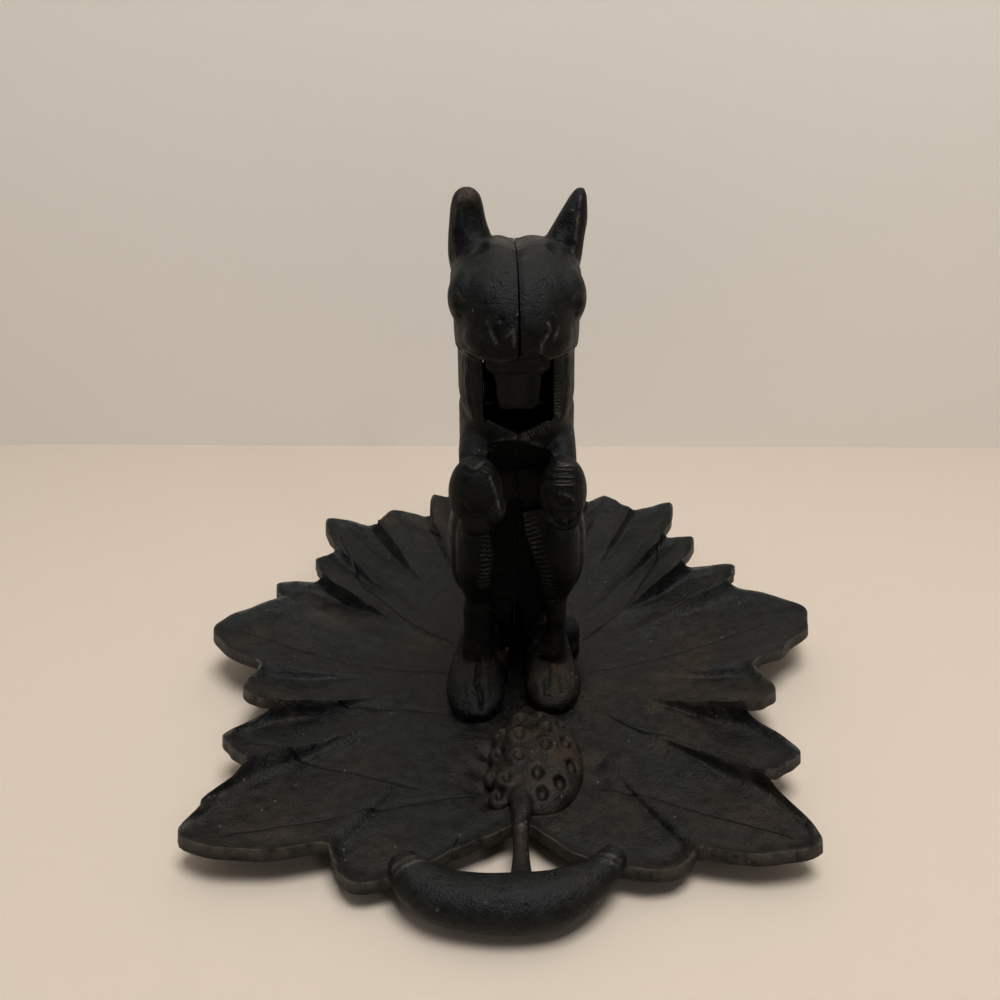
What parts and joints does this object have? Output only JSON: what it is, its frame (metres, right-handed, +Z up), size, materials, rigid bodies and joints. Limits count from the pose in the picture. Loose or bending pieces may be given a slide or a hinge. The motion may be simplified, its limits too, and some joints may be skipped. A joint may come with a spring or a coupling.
{
  "type": "lever nutcracker",
  "caption": "Cast iron squirrel nutcracker standing on a wide leaf tray with a loop handle; lifting and pressing the squirrel's tail works its lower jaw.",
  "frame": {"origin": "centre of the flat rest face under the tray, on the plane the tray stands on, below the squirrel", "axes": "+Z is up; the squirrel faces -Y, towards the loop handle; +X is to the right of a viewer who faces the squirrel"},
  "size_m": [0.212, 0.2404, 0.165],
  "materials": {
    "tray_iron": "aged black cast iron, satin, with brown rust in the low places",
    "body_iron": "aged black cast iron, satin, worn grey on the edges",
    "lever_iron": "aged black cast iron, satin",
    "steel_pin": "dark tarnished steel with peened ends",
    "steel_screw": "dark tarnished steel, slotted head"
  },
  "bodies": {
    "stand": {"leaf_tray": "tray_iron", "body_left": "body_iron", "body_right": "body_iron", "pivot_pin": "steel_pin", "head_rivet": "steel_pin", "haunch_rivet": "steel_pin", "foot_screw_left": "steel_screw", "foot_screw_right": "steel_screw"},
    "lever": {"tail_lever": "lever_iron"}
  },
  "joints": [
    {"name": "jaw_pivot", "type": "hinge", "parent": "stand", "child": "lever", "pos_m": [0, 0.008, 0.11], "axis": [1, 0, 0], "range_deg": [0, 35]}
  ]
}
